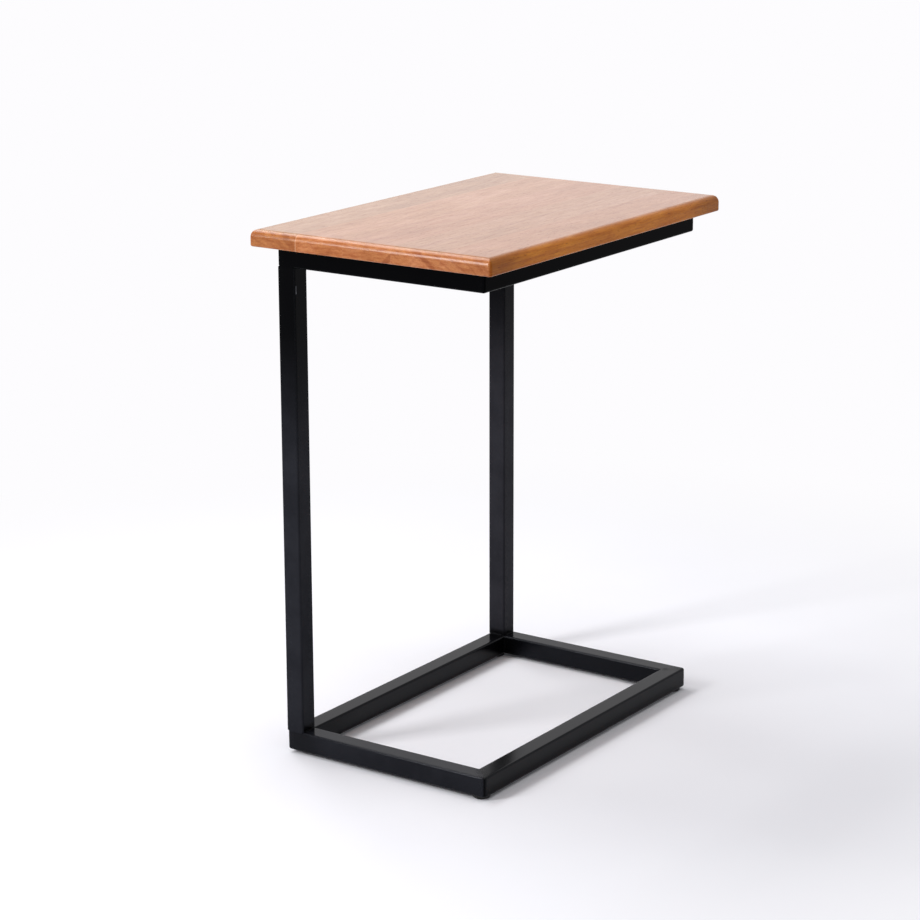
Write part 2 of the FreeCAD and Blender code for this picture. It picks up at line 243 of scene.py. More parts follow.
# studio: three soft boxes, a white backdrop up to a little above eye level and a dim ceiling over it
studio = {
    "white": "#fdfcfe",
    "floorColour": "#f5f6fb",
    "cloudColour": "#dcdbe0",
    "cloudSize": 260.0,            # faint clouds in the paper, in mm
    "clouds": (0.35, 0.7, 0.0, 0.08),
    "floorSize": 60.0,
    "plainFrom": 0.34,             # the floor is lit paper up to here, in metres from the table
    "plainBy": 1.15,               # and plain white background from here
    "ambient": 0.43,
    "backdropTop": (0.45, 0.62),   # sine of the elevation where the backdrop starts to fade and has gone
}
softBoxes = {
    "overheadBox": {"place": (0.05, 0.1, 2.4), "faces": (0.05, 0.1, 0), "width": 1.1, "height": 1.1,
                    "radiance": 3.0},
    "sideBox": {"place": (-1.2, 0.05, 2.2), "faces": (0, 0, 0.4), "width": 1.3, "height": 0.8,
                "radiance": 5.4},
    "keyBox": {"place": (-1.1, -1.9, 1.45), "faces": (0, 0, 0.5), "width": 0.5, "height": 0.95,
               "radiance": 16.0},
}
lampColour = "#fffefe"
lit = bpy.data.worlds.new("studio")
bpy.context.scene.world = lit
lit.use_nodes = True
tree = lit.node_tree
tree.nodes.clear()
direction = addNode(tree, "SeparateXYZ", (addNode(tree, "TexCoord").outputs["Generated"],))
backdrop = addNode(tree, "MapRange", (direction.outputs["Z"], *studio["backdropTop"], 1.0, 0.0), **soft)
shown = addNode(tree, "Math", (seenDirectly(tree), backdrop), operation="MULTIPLY")
ambient = studio["ambient"]
strength = addNode(tree, "Math", (shown, 1.0 - ambient, ambient), operation="MULTIPLY_ADD")
sky = addNode(tree, "Background", {"Color": studio["white"], "Strength": strength})
addNode(tree, "OutputWorld", {"Surface": sky})

for name, box in softBoxes.items():
    lamp = addObject(name, bpy.data.lights.new(name, "AREA"))
    lamp.data.shape = "RECTANGLE"
    lamp.data.size = box["width"]
    lamp.data.size_y = box["height"]
    lamp.data.energy = box["radiance"] * 4 * box["width"] * box["height"]
    lamp.data.color = linearColour(lampColour)[:3]
    lamp.location = box["place"]
    lamp.rotation_mode = "QUATERNION"
    lamp.rotation_quaternion = (Vector(box["faces"]) - Vector(box["place"])).to_track_quat("-Z", "Y")


# Matt paper on the floor, which turns to plain white background farther out
def paperMaterial():
    material, tree, shader = startMaterial("studio_paper", {"Roughness": 0.9, "Specular IOR Level": 0.1})
    place, patterns = addPatterns(tree, {"cloud": ((studio["cloudSize"],) * 3, 2, 0.5)}, 1)
    cloud = addNode(tree, "MapRange", (patterns["cloud"], *studio["clouds"]), **soft)
    paper = addNode(tree, "Mix", {0: cloud, 6: studio["floorColour"], 7: studio["cloudColour"]}, **stain)
    finishMaterial(tree, shader, {"Base Color": paper})
    away = addNode(tree, "VectorMath", (place,), operation="LENGTH")
    far = addNode(tree, "MapRange", (away, studio["plainFrom"] / mm, studio["plainBy"] / mm), **soft)
    plain = addNode(tree, "Emission", {"Color": studio["white"], "Strength": 1.0})
    share = addNode(tree, "Math", (far, seenDirectly(tree)), operation="MULTIPLY")
    both = addNode(tree, "MixShader", (share, shader, plain))
    output = next(node for node in tree.nodes if node.type == "OUTPUT_MATERIAL")
    tree.links.new(both.outputs["Shader"], output.inputs["Surface"])
    return material


bm = bmesh.new()
bmesh.ops.create_grid(bm, x_segments=4, y_segments=4, size=studio["floorSize"] / 2)
floor = addObject("studio_floor", makeMesh("studio_floor", bm))
floor.data.materials.append(paperMaterial())
bpy.context.scene.view_settings.view_transform = "Standard"
print("studio lit")

boardLow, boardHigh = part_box("top_stave_1")[0] / mm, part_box("top_stave_5")[1] / mm
# Solid hardwood, planed, oiled and varnished: amber boards with fine open pores that run along the top,
# quiet rings on the ends, and a clear satin skin that goes pale at a flat angle.
top = {
    "upperRadius": 8.5,
    "lowerRadius": 2.0,
    "cornerRadius": 3.5,
    "leastRadius": 0.3,
    "arcSteps": 12,
    "cornerSteps": 6,
    "middleHeight": (boardLow.z + boardHigh.z) / 2,
    "flatFacing": (0.75, 0.99),   # how far up a face looks where the flat begins and is in full
    "edgeFacing": (0.1, 0.9),     # the same outward, for the ends and the long edges
    "wander": 16.0,           # the grain wanders sideways by half of this either way
    "ringWidth": 4.2,
    "ringSwing": 1.6,         # the figure shifts the rings by up to this many years
    "oneYear": ((0.0, 0.0), (0.4, 0.12), (0.86, 1.0), (1.0, 0.0)),   # how dark the wood is through a year
    "yearDepth": (0.3, 0.06),     # how much the years differ, and the least of them
    "bodyStops": (0.3, 0.5, 0.72),
    "streakEdges": (1.3, 0.5),    # a streak fades in between these shares of its width
    "ringsOnFlat": -0.45,     # what the sanding took off the rings, streaks and fibres
    "streaksOnFlat": -0.75,
    "fibreOnFlat": -0.1,
    "glueLine": 0.9,          # a real joint is 0.1 mm wide; drawn wider so that it shows
    "glueColour": "#e3b692",
    "glueShows": {-90: 0.45, -30: 0.06, 30: 0.06, 90: 0.06},   # each joint by its place: how pale it is
    "ringColour": "#b98a63",
    "streakColour": "#b98259",
    # stains by pattern: where its noise begins and is in full, how strong it is, its colour
    "stains": {
        "fibre": (0.42, 0.68, 0.26, "#bd8763"),
        "pores": (0.62, 0.72, 0.4, "#8a5a3a"),
        "mottle": (0.35, 0.7, 0.22, "#cf9a78"),
        "sawn": (0.42, 0.66, 0.5, "#cf9d70"),
        "layers": (0.4, 0.66, 0.38, "#c79a4c"),
    },
    "flatTint": "#eef2fd",    # the flat is sanded finest and stays pale
    "endTint": "#fdedd5",     # the sawn ends drink more oil
    "sideTint": "#ffe366",    # the right long edge is cut across yellower layers
    "sideLift": 1.25,
    "soakColour": "#ada2aa",  # near its ends the right edge soaked up more oil
    "soak": (145.0, 205.0, 0.0, 0.6),
    "edgeVarnish": -0.5,      # the long edges drank their varnish and shine less
    "roughness": {"wood": 0.3, "pores": 0.18, "fibre": 0.1},
    "relief": {"pores": -1.0, "fibre": -0.35, "skin": 0.9},
    "reliefDepth": 0.03,
    "reliefShows": (0.5, 0.35),   # in the wood, and less in the skin over it
}
woodPatterns = {
    "wander": ((55, 300, 55), 2, 0.5),
    "figure": ((26, 110, 24), 3, 0.6),
    "mottle": ((9, 22, 9), 3, 0.6),        # light comes back unevenly where the fibres dip under the skin
    "fibre": ((1.6, 26, 1.1), 3, 0.65),
    "pores": ((0.8, 7, 0.6), 1, 0.5),      # real pores are 0.2 mm wide; these are drawn coarser
    "sawn": ((17, 900, 2.6), 3, 0.6),      # blotches where the ends took the oil unevenly
    "layers": ((900, 42, 3.2), 3, 0.6),    # darker layers that the long edges cut through
    "skin": ((11, 17, 11), 1, 0.5),
}
# each stave: its pale, middle and deep colours, the heart of the tree from the stave's middle in mm, the
# tilt of its grain in degrees, how much paler its sanded flat is in red, green and blue, and streaks of
# darker heartwood as (x, width, slant, strength)
staves = {
    "top_stave_1": {
        "colours": ("#c28b60", "#b88052", "#ab7449"), "heart": (-38, -74), "tilt": (1.1, 0.7),
        "lift": (1.09, 1.3, 1.6),
        "streaks": ((-128, 5, 1.6, 0.20), (-111, 4, 1.3, 0.22), (-97, 5, 0.9, 0.35)),
    },
    "top_stave_2": {
        "colours": ("#ca8f67", "#c08457", "#b4794b"), "heart": (31, -96), "tilt": (-0.8, 0.5),
        "lift": (1.05, 1.14, 1.25),
        "streaks": ((-66, 6, 1.2, 0.10), (-40, 5, -0.8, 0.14)),
    },
    "top_stave_3": {
        "colours": ("#ca916a", "#c0855a", "#b47a4e"), "heart": (-12, 88), "tilt": (0.6, -1.0),
        "lift": (1.01, 1.03, 1.08),
        "streaks": ((2, 5, 0.7, 0.12), (31, 3.6, -0.8, 0.5)),
    },
    "top_stave_4": {
        "colours": ("#ce9670", "#c68c61", "#b87e53"), "heart": (44, 70), "tilt": (-0.5, -0.6),
        "lift": (0.93, 0.98, 1.0),
        "streaks": ((68, 4.2, 1.3, 0.5), (58, 2, -0.8, 0.2)),
    },
    "top_stave_5": {
        "colours": ("#ca926c", "#c0865b", "#b3794e"), "heart": (-52, -58), "tilt": (0.9, 1.2),
        "lift": (1.0, 1.0, 1.0),
        "streaks": ((112, 6, 1.1, 0.16), (138, 5, 0.8, 0.2)),
    },
}


# which way of cutting the wood a point shows: the flat, the ends, both long edges, the right edge
def cutFaces(tree):
    normal = addNode(tree, "NewGeometry").outputs["Normal"]
    across, along, upward = addNode(tree, "SeparateXYZ", (normal,)).outputs
    flat = addNode(tree, "MapRange", (upward, *top["flatFacing"]), **soft)
    bothWays = [addNode(tree, "Math", (part,), operation="ABSOLUTE") for part in (along, across)]
    ends, sides, rightSide = (addNode(tree, "MapRange", (part, *top["edgeFacing"]), **soft)
                              for part in (*bothWays, across))
    return flat, ends, sides, rightSide


# darker late wood in each year ring around the heart of the tree
def yearRings(tree, look, patterns, bent, flat, middle):
    tilt = [math.radians(angle) for angle in look["tilt"]]
    heart = (middle + look["heart"][0], 0, top["middleHeight"] + look["heart"][1])
    # a ring runs on along the table, so that way hardly counts
    around = addNode(tree, "Mapping", {"Vector": bent, "Location": heart, "Rotation": (tilt[0], 0, tilt[1]),
                                       "Scale": (1, 1000, 1)}, vector_type="TEXTURE")
    radius = addNode(tree, "VectorMath", (around,), operation="LENGTH")
    years = addNode(tree, "Math", (radius, top["ringWidth"]), operation="DIVIDE")
    years = addNode(tree, "Math", (patterns["figure"], top["ringSwing"], years), operation="MULTIPLY_ADD")
    late = addNode(tree, "ValToRGB", (addNode(tree, "Math", (years,), operation="FRACT"),))
    setStops(late, [(position, (value, value, value, 1)) for position, value in top["oneYear"]])
    whichYear = addNode(tree, "Math", (years,), operation="FLOOR")
    eachYear = addNode(tree, "TexWhiteNoise", {"W": whichYear}, noise_dimensions="1D")
    depth = addNode(tree, "Math", (eachYear, *top["yearDepth"]), operation="MULTIPLY_ADD")
    rings = addNode(tree, "Math", (late, depth), operation="MULTIPLY")
    quieter = addNode(tree, "Math", (flat, top["ringsOnFlat"], 1.0), operation="MULTIPLY_ADD")
    return addNode(tree, "Math", (rings, quieter), operation="MULTIPLY")


def woodMaterial(name, look, seed, low, high):
    material, tree, shader = startMaterial(name, {
        "IOR": 1.5, "Specular IOR Level": 0.02, "Coat Roughness": 0.2, "Coat IOR": 1.3})
    place, patterns = addPatterns(tree, woodPatterns, seed)
    x, y, z = addNode(tree, "SeparateXYZ", (place,)).outputs
    flat, ends, sides, rightSide = cutFaces(tree)
    # the grain wanders sideways by a few millimetres
    swing = top["wander"]
    wander = addNode(tree, "VectorMath", (patterns["wander"].outputs["Color"], (swing, 0, swing),
                                          (-swing / 2, 0, -swing / 2)), operation="MULTIPLY_ADD")
    bent = addNode(tree, "VectorMath", (place, wander), operation="ADD")
    # body colour
    body = addNode(tree, "ValToRGB", (patterns["figure"],))
    setStops(body, list(zip(top["bodyStops"], map(linearColour, look["colours"]))))
    rings = yearRings(tree, look, patterns, bent, flat, (low + high) / 2)
    colour = addNode(tree, "Mix", {0: rings, 6: body, 7: top["ringColour"]}, **stain)
    # darker streaks of heartwood, plain on the ends and quiet on the flat
    bentAcross = addNode(tree, "SeparateXYZ", (bent,))
    height = addNode(tree, "Math", (z, top["middleHeight"]), operation="SUBTRACT")
    quiet = addNode(tree, "Math", (flat, top["streaksOnFlat"], 1.0), operation="MULTIPLY_ADD")
    for centre, width, slant, strength in look["streaks"]:
        off = addNode(tree, "Math", (bentAcross, centre), operation="SUBTRACT")
        off = addNode(tree, "Math", (height, slant, off), operation="MULTIPLY_ADD")
        off = addNode(tree, "Math", (off,), operation="ABSOLUTE")
        fadeFrom, fadeTo = (width * share for share in top["streakEdges"])
        streak = addNode(tree, "MapRange", (off, fadeFrom, fadeTo, 0.0, strength), **soft)
        streak = addNode(tree, "Math", (streak, quiet), operation="MULTIPLY")
        colour = addNode(tree, "Mix", {0: streak, 6: colour, 7: top["streakColour"]}, **stain)
    # fibres, pores and mottle everywhere, sawn marks on the ends, layers on the long edges
    marks = {}
    for pattern, (begins, full, strength, shade) in top["stains"].items():
        marks[pattern] = addNode(tree, "MapRange", (patterns[pattern], begins, full), **soft)
        if pattern == "fibre":
            strength = addNode(tree, "Math", (flat, top["fibreOnFlat"], strength), operation="MULTIPLY_ADD")
        elif pattern == "sawn":
            strength = addNode(tree, "Math", (ends, strength), operation="MULTIPLY")
        elif pattern == "layers":
            strength = addNode(tree, "Math", (sides, strength), operation="MULTIPLY")
        strength = addNode(tree, "Math", (marks[pattern], strength), operation="MULTIPLY")
        colour = addNode(tree, "Mix", {0: strength, 6: colour, 7: shade}, **stain)
    flatTint = [c * lift for c, lift in zip(linearColour(top["flatTint"]), (*look["lift"], 1.0))]
    sideTint = [c * top["sideLift"] for c in linearColour(top["sideTint"])]
    fromMiddle = addNode(tree, "Math", (y,), operation="ABSOLUTE")
    soaked = addNode(tree, "MapRange", (fromMiddle, *top["soak"]), **soft)
    soaked = addNode(tree, "Math", (soaked, rightSide), operation="MULTIPLY")
    for where, tint in ((flat, flatTint), (ends, top["endTint"]), (rightSide, sideTint),
                        (soaked, top["soakColour"])):
        colour = addNode(tree, "Mix", {0: where, 6: colour, 7: tint}, **stain)
    # thin pale glue line at each joint with the next stave
    for joint in (edge for edge in (low, high) if round(edge) in top["glueShows"]):
        off = addNode(tree, "Math", (x, joint), operation="SUBTRACT")
        off = addNode(tree, "Math", (off,), operation="ABSOLUTE")
        shows = top["glueShows"][round(joint)]
        line = addNode(tree, "MapRange", (off, top["glueLine"], 0.0, 0.0, shows), **soft)
        line = addNode(tree, "Math", (line, quiet), operation="MULTIPLY")
        colour = addNode(tree, "Mix", {0: line, 6: colour, 7: top["glueColour"]}, **blend)
    varnish = addNode(tree, "Math", (sides, top["edgeVarnish"], 1.0), operation="MULTIPLY_ADD")
    # pores and fibres roughen the wood, and both it and its skin follow them
    rough = top["roughness"]["wood"]
    for pattern in ("pores", "fibre"):
        more = top["roughness"][pattern]
        rough = addNode(tree, "Math", (marks[pattern], more, rough), operation="MULTIPLY_ADD")
    relief = addNode(tree, "Math", (marks["fibre"], top["relief"]["fibre"]), operation="MULTIPLY")
    for pattern, source in (("pores", marks["pores"]), ("skin", patterns["skin"])):
        relief = addNode(tree, "Math", (source, top["relief"][pattern], relief), operation="MULTIPLY_ADD")
    woodBump, skinBump = (
        addNode(tree, "Bump", {"Height": relief, "Strength": shows, "Distance": top["reliefDepth"] * mm})
        for shows in top["reliefShows"])
    finishMaterial(tree, shader, {"Base Color": colour, "Coat Weight": varnish, "Roughness": rough,
                                  "Normal": woodBump, "Coat Normal": skinBump})
    return material


# the glued board as one shape: sanded corners, an eased lower edge and a routed upper one
def routedBoard(low, high):
    bm = bmesh.new()
    middle, half = (low + high) / 2, (high - low) / 2
    lower, upper = top["lowerRadius"], top["upperRadius"]
    turns = [math.pi / 2 * step / top["arcSteps"] for step in range(top["arcSteps"] + 1)]
    profile = [(lower * (1 - math.sin(turn)), low.z + lower * (1 - math.cos(turn))) for turn in turns]
    profile += [(upper * (1 - math.cos(turn)), high.z - upper * (1 - math.sin(turn))) for turn in turns]
    loops = []
    for inset, z in profile:
        radius = max(top["cornerRadius"] - inset, top["leastRadius"])
        loop = []
        for quarter, (signX, signY) in enumerate(((1, 1), (-1, 1), (-1, -1), (1, -1))):
            for step in range(top["cornerSteps"] + 1):
                angle = math.pi / 2 * (quarter + step / top["cornerSteps"])
                loop.append(bm.verts.new(Vector((
                    middle.x + signX * (half.x - inset - radius) + radius * math.cos(angle),
                    middle.y + signY * (half.y - inset - radius) + radius * math.sin(angle), z)) * mm))
        loops.append(loop)
    joinLoops(bm, loops)
    bm.faces.new(loops[0][::-1])
    bm.faces.new(loops[-1])
    return bm


for index, (name, look) in enumerate(staves.items(), start=1):
    low, high = (corner.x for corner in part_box(name))
    bm = routedBoard(boardLow, boardHigh)
    for cut, side in ((low, -1), (high, 1)):
        if boardLow.x + 1 < cut / mm < boardHigh.x - 1:
            bmesh.ops.bisect_plane(bm, geom=bm.verts[:] + bm.edges[:] + bm.faces[:], plane_co=(cut, 0, 0),
                                   plane_no=(side, 0, 0), clear_outer=True)
            bmesh.ops.holes_fill(bm, edges=[edge for edge in bm.edges if edge.is_boundary])
    markEdges(bm)
    wood = woodMaterial(f"varnished_hardwood_{index}", look, index, low / mm, high / mm)
    stave = newPiece(f"stave_{index}", bm, wood, [name])
    screwX = math.copysign(holes["screwX"], low)
    if low / mm < screwX < high / mm:
        drill(stave, [((screwX, y, boardLow.z), holes["pilotRadius"], holes["pilotDepth"] * 2)
                      for y in (-holes["screwY"], holes["screwY"])])
    stave.modifiers.new("flatShading", "WEIGHTED_NORMAL").keep_sharp = True
print("top glued, routed and varnished")

# Welded steel tube, powder coated black: a thin baked skin with faint orange peel, soft dark reflections
# with a bluish cast, and ground patches under it where the corners were welded.
coat = {
    "tube": frameHalf[0] - innerHalf,
    "tubeRadius": 2.2,
    "peel": 1.4,                # orange peel, drawn a little coarser than the real 0.8 mm
    "sheenTint": "#f0f4ff",
    "cloudColour": "#b4b4ba",
    # paler edges: thin worn skin, and a painted highlight
    "edgeColour": "#1d1e21",
    # painted shade colour for the inner corners
    "cornerShadeColour": "#020202",
    # painted shade for the seam's groove
    "seamShadeColour": "#040405",
    "fade": (300.0, 480.0),     # painted shade: the coat turns from its low colour to its darker high one between these heights, under the top
    # painted shade that darkens the inner corners: from here to here, in mm
    "footShadeHeight": (35.0, 29.0),    # above the floor, on the inner faces of the uprights
    "cornerShadeReach": (42.0, 8.0),   # from the inner rear corners
    "cornerShadeDepth": (0.3, 1.7),     # under the top of the rails
    "cornerShadeShare": 0.85,
    "cornerShadeIn": (0.6, 3.0),        # from the outer faces of the uprights, which get no painted shade
    "groundAcross": (12.0, 3.0),   # a ground patch from its edge to its middle, across the mitre
    "groundAlong": (32.0, 20.0),   # and along it, from the corner
    "seamAcross": (2.2, 0.8),
    "seamAlong": (5.0, 3.5),
    "seamShows": (0.0, 20.0, 0.0, 0.9),   # in the front half of the table
    "clouds": (0.35, 0.7, 0.0, 0.5),
    "edgeFrom": (0.1, 1.2),     # how far out of the flats an edge begins and is in full
    "edgeWearAndSheen": (0.35, 0.65, 0.1, 0.4),
    "roughSwing": 0.06,
    "scratches": (0.4, 0.65),
    "scratchRough": 0.3,
    "relief": {"peel": 0.5, "ground": 3.0},
    "reliefDepth": 0.03,
    "reliefShows": 0.35,
    # painted light and shade: each kind of tube gets a colour and shine for how light falls on it; the top
    # rails under the top and the welds in their corners are painted darker
    "base_rail": {"low": "#17181c", "high": "#17181c", "shine": 0.09, "roughness": 0.16},
    "upright": {"low": "#26272c", "high": "#020203", "shine": 0.035, "roughness": 0.2},
    "top_rail": {"low": "#020203", "high": "#020203", "shine": 0.03, "roughness": 0.2},
    "weld": {"low": "#0c0c0e", "high": "#040405", "shine": 0.03, "roughness": 0.3},
    "flush": {"low": "#222328", "high": "#020203", "shine": 0.03, "roughness": 0.2},
    # painted highlight: the run's pale grey and high shine stand in for the light it catches
    "run": {"low": "#5c5d63", "high": "#5c5d63", "shine": 0.6, "roughness": 0.25},
    # painted light and shade: where a tube's colour or shine differs from its kind, for how light falls on
    # it
    "own": {
        "base_rail_left": {"low": "#1b1c21"},
        "base_rail_rear": {"low": "#08080a", "shine": 0.1},
        "base_rail_front": {"low": "#0a0b0d"},
        "base_rail_right": {"low": "#121317", "shine": 0.1},
        "upright_right": {"low": "#2d2d32"},
        "top_rail_front": {"shine": 0.012},
    },
    "tubeSeed": 11,
    "weldSeed": 31,
    "flushSeed": 32,
    "runSeed": 33,
}
coatPatterns = {
    "peel": ((coat["peel"],) * 3, 1, 0.5),
    "cloud": ((38, 38, 38), 3, 0.6),
    "grind": ((2.2, 2.2, 2.2), 3, 0.7),
}


# 1 on the four rounded edges of a tube that runs along one axis
def tubeEdges(tree, axes, centre, run):
    flatHalf = coat["tube"] / 2 - coat["tubeRadius"]
    out = []
    for axis in range(3):
        if axis != run:
            off = addNode(tree, "Math", (axes[axis], centre[axis]), operation="SUBTRACT")
            off = addNode(tree, "Math", (off,), operation="ABSOLUTE")
            out.append(addNode(tree, "Math", (off, flatHalf), operation="SUBTRACT"))
    least = addNode(tree, "Math", out, operation="MINIMUM")
    return addNode(tree, "MapRange", (least, *coat["edgeFrom"]), **soft)


# 1 where painted shade darkens an inner corner: the feet of the uprights and the rear corners of the rails
def paintedCornerShade(tree, x, z, acrossMiddle, upright):
    if upright:
        fromRear = addNode(tree, "Math", (x, frameHalf[0]), operation="ADD")
        fromSide = addNode(tree, "Math", (frameHalf[1], acrossMiddle), operation="SUBTRACT")
        inward = addNode(tree, "Math", (fromRear, fromSide), operation="MINIMUM")
        first = addNode(tree, "MapRange", (z, *coat["footShadeHeight"]), **soft)
        second = addNode(tree, "MapRange", (inward, *coat["cornerShadeIn"]), **soft)
    else:
        insideX = addNode(tree, "Math", (-innerHalf, x), operation="SUBTRACT")
        insideY = addNode(tree, "Math", (acrossMiddle, uprightSide), operation="SUBTRACT")
        squared = addNode(tree, "Math", (insideY, insideY), operation="MULTIPLY")
        squared = addNode(tree, "Math", (insideX, insideX, squared), operation="MULTIPLY_ADD")
        apart = addNode(tree, "Math", (squared,), operation="SQRT")
        first = addNode(tree, "MapRange", (apart, *coat["cornerShadeReach"]), **soft)
        second = addNode(tree, "MapRange", (z, *(railTop - depth for depth in coat["cornerShadeDepth"])), **soft)
    return addNode(tree, "Math", (first, second), operation="MULTIPLY")


# the patches that were ground flush at the mitres, and the seam down the outside of the front ones,
# darkened with painted shade for its groove
def mitreMarks(tree, x, acrossTable, acrossMiddle):
    fromX = addNode(tree, "Math", (frameHalf[0], acrossTable), operation="SUBTRACT")
    fromY = addNode(tree, "Math", (frameHalf[1], acrossMiddle), operation="SUBTRACT")
    seam = addNode(tree, "Math", (fromX, fromY), operation="SUBTRACT")
    seam = addNode(tree, "Math", (seam,), operation="ABSOLUTE")
    fromCorner = addNode(tree, "Math", (fromX, fromY), operation="MAXIMUM")
    marks = []
    for across, along in (("groundAcross", "groundAlong"), ("seamAcross", "seamAlong")):
        near = [addNode(tree, "MapRange", (off, *coat[limits]), **soft)
                for off, limits in ((seam, across), (fromCorner, along))]
        marks.append(addNode(tree, "Math", near, operation="MULTIPLY"))
    inFront = addNode(tree, "MapRange", (x, *coat["seamShows"]), **soft)
    return marks[0], addNode(tree, "Math", (marks[1], inFront), operation="MULTIPLY")


def coatMaterial(name, seed, look, centre=None, run=None):
    material, tree, shader = startMaterial(name, {
        "IOR": 1.5, "Specular IOR Level": look["shine"], "Specular Tint": coat["sheenTint"]})
    place, patterns = addPatterns(tree, coatPatterns, seed)
    axes = addNode(tree, "SeparateXYZ", (place,)).outputs
    x, y, z = axes
    acrossTable, acrossMiddle = (addNode(tree, "Math", (axis,), operation="ABSOLUTE") for axis in (x, y))
    cloud, grind, peel = patterns["cloud"], patterns["grind"], patterns["peel"]
    # painted shade: darker towards the top, from the low colour to the high one
    height = addNode(tree, "MapRange", (z, *coat["fade"]), **soft)
    colour = addNode(tree, "Mix", {0: height, 6: look["low"], 7: look["high"]}, **blend)
    clouded = addNode(tree, "MapRange", (cloud, *coat["clouds"]), **soft)
    colour = addNode(tree, "Mix", {0: clouded, 6: colour, 7: coat["cloudColour"]}, **stain)
    if centre:
        # the skin is thinner and paler on rounded edges, worn in patches, and the paler edges also paint a
        # faint highlight along them
        thin = addNode(tree, "MapRange", (grind, *coat["edgeWearAndSheen"]), **soft)
        thin = addNode(tree, "Math", (tubeEdges(tree, axes, centre, run), thin), operation="MULTIPLY")
        colour = addNode(tree, "Mix", {0: thin, 6: colour, 7: coat["edgeColour"]}, **blend)
    # painted shade: the inner corners darkened towards black
    cornerShadeMask = paintedCornerShade(tree, x, z, acrossMiddle, run == 2)
    cornerShadeMask = addNode(tree, "Math", (cornerShadeMask, coat["cornerShadeShare"]), operation="MULTIPLY")
    colour = addNode(tree, "Mix", {0: cornerShadeMask, 6: colour, 7: coat["cornerShadeColour"]}, **blend)
    ground, seamShade = mitreMarks(tree, x, acrossTable, acrossMiddle)
    # painted shade: the seam's groove is darkened
    colour = addNode(tree, "Mix", {0: seamShade, 6: colour, 7: coat["seamShadeColour"]}, **blend)
    swing = coat["roughSwing"]
    rough = addNode(tree, "Math", (cloud, swing, look["roughness"] - swing / 2), operation="MULTIPLY_ADD")
    scratched = addNode(tree, "MapRange", (grind, *coat["scratches"]), **soft)
    scratched = addNode(tree, "Math", (ground, scratched), operation="MULTIPLY")
    rough = addNode(tree, "Math", (scratched, coat["scratchRough"], rough), operation="MULTIPLY_ADD")
    relief = addNode(tree, "Math", (peel, coat["relief"]["peel"]), operation="MULTIPLY")
    groundBy = addNode(tree, "Math", (ground, grind), operation="MULTIPLY")
    relief = addNode(tree, "Math", (groundBy, coat["relief"]["ground"], relief), operation="MULTIPLY_ADD")
    bump = addNode(tree, "Bump", {"Height": relief, "Strength": coat["reliefShows"],
                                  "Distance": coat["reliefDepth"] * mm})
    finishMaterial(tree, shader, {"Base Color": colour, "Roughness": rough, "Normal": bump})
    return material


# The rails are hollow, mitred at both ends, and their outer corners were ground round after welding
rail = {
    "wall": 1.2,
    "groundRadius": {"base_rail": 4.0, "top_rail": 2.6},   # outer corners, seen from above
    "easing": 5.5,                  # the left rear corner of the base was ground from below too
    "easingFades": (12.0, 36.0),    # from here to here along the rear rail
    "seamDepth": 0.595,             # the weld down the front corners sank in by this on both sides
    "seamNotch": 0.68,              # and by this where it comes over the top edge
    "seamReach": 1.7,
    "seamFrom": 7.0,                # it starts this far out from the middle of the tube
    "arcSteps": 6,
    "slack": 0.01,
    # cuts along a rail, in mm back from its mitre, closest together where the corner is round
    "cuts": (0, 0.5, 1, 1.5, 2, 2.5, 3, 3.5, 4, 4.75, 5.5, 7, 9, 12, 18, 27, 36),
}


# the outline of the tube, with a few points on the flats next to each rounded edge
def squareProfile(half, radius):
    arcs = []
    for quarter, (signU, signV) in enumerate(((1, 1), (-1, 1), (-1, -1), (1, -1))):
        angles = [math.pi / 2 * (quarter + step / rail["arcSteps"]) for step in range(rail["arcSteps"] + 1)]
        arcs.append([(signU * (half - radius) + radius * math.cos(angle),
                      signV * (half - radius) + radius * math.sin(angle)) for angle in angles])
    near = (rail["easing"] - radius) / (half - radius) / 2
    points = []
    for arc, following in zip(arcs, arcs[1:] + arcs[:1]):
        points += arc
        for share in (near / 2, near, 1 - near, 1 - near / 2):
            points.append(tuple(start + (end - start) * share for start, end in zip(arc[-1], following[0])))
    return points


# 0 to 1 in a soft step
def eased(share):
    share = min(1.0, max(0.0, share))
    return share * share * (3 - 2 * share)


# takes the corner of a rail off from below, at the rear on the left
def easeFromBelow(spot, bottom, depth):
    reach = (-spot.x - (frameHalf[0] - rail["easing"]), bottom + rail["easing"] - spot.z)
    fadeFrom, fadeTo = rail["easingFades"]
    fade = eased((fadeTo - (spot.y + frameHalf[1])) / (fadeTo - fadeFrom))
    if min(reach) > 0 and math.hypot(*reach) > rail["easing"] - depth:
        pull = fade * (1 - (rail["easing"] - depth) / math.hypot(*reach))
        spot.x += reach[0] * pull
        spot.z += reach[1] * pull


# pulls a point of a sharp outer corner in to a round one
def groundCorner(spot, radius):
    reach = [abs(spot[axis]) - (frameHalf[axis] - radius) for axis in (0, 1)]
    if min(reach) > 0:
        pull = max(reach) / math.hypot(*reach)
        for axis in (0, 1):
            spot[axis] = math.copysign(frameHalf[axis] - radius + reach[axis] * pull, spot[axis])


# sinks the weld seam down the outside of a front corner, with a small notch where it comes over the top
def sinkSeam(spot, out, back, overTop):
    outward = (out - rail["seamFrom"]) / (coat["tube"] / 2 - rail["seamFrom"])
    share = eased(1 - back / rail["seamReach"]) * min(1.0, max(0.0, outward))
    for axis in (0, 1):
        spot[axis] -= math.copysign(rail["seamDepth"] * share, spot[axis])
    if overTop:
        spot.z -= rail["seamNotch"] * share


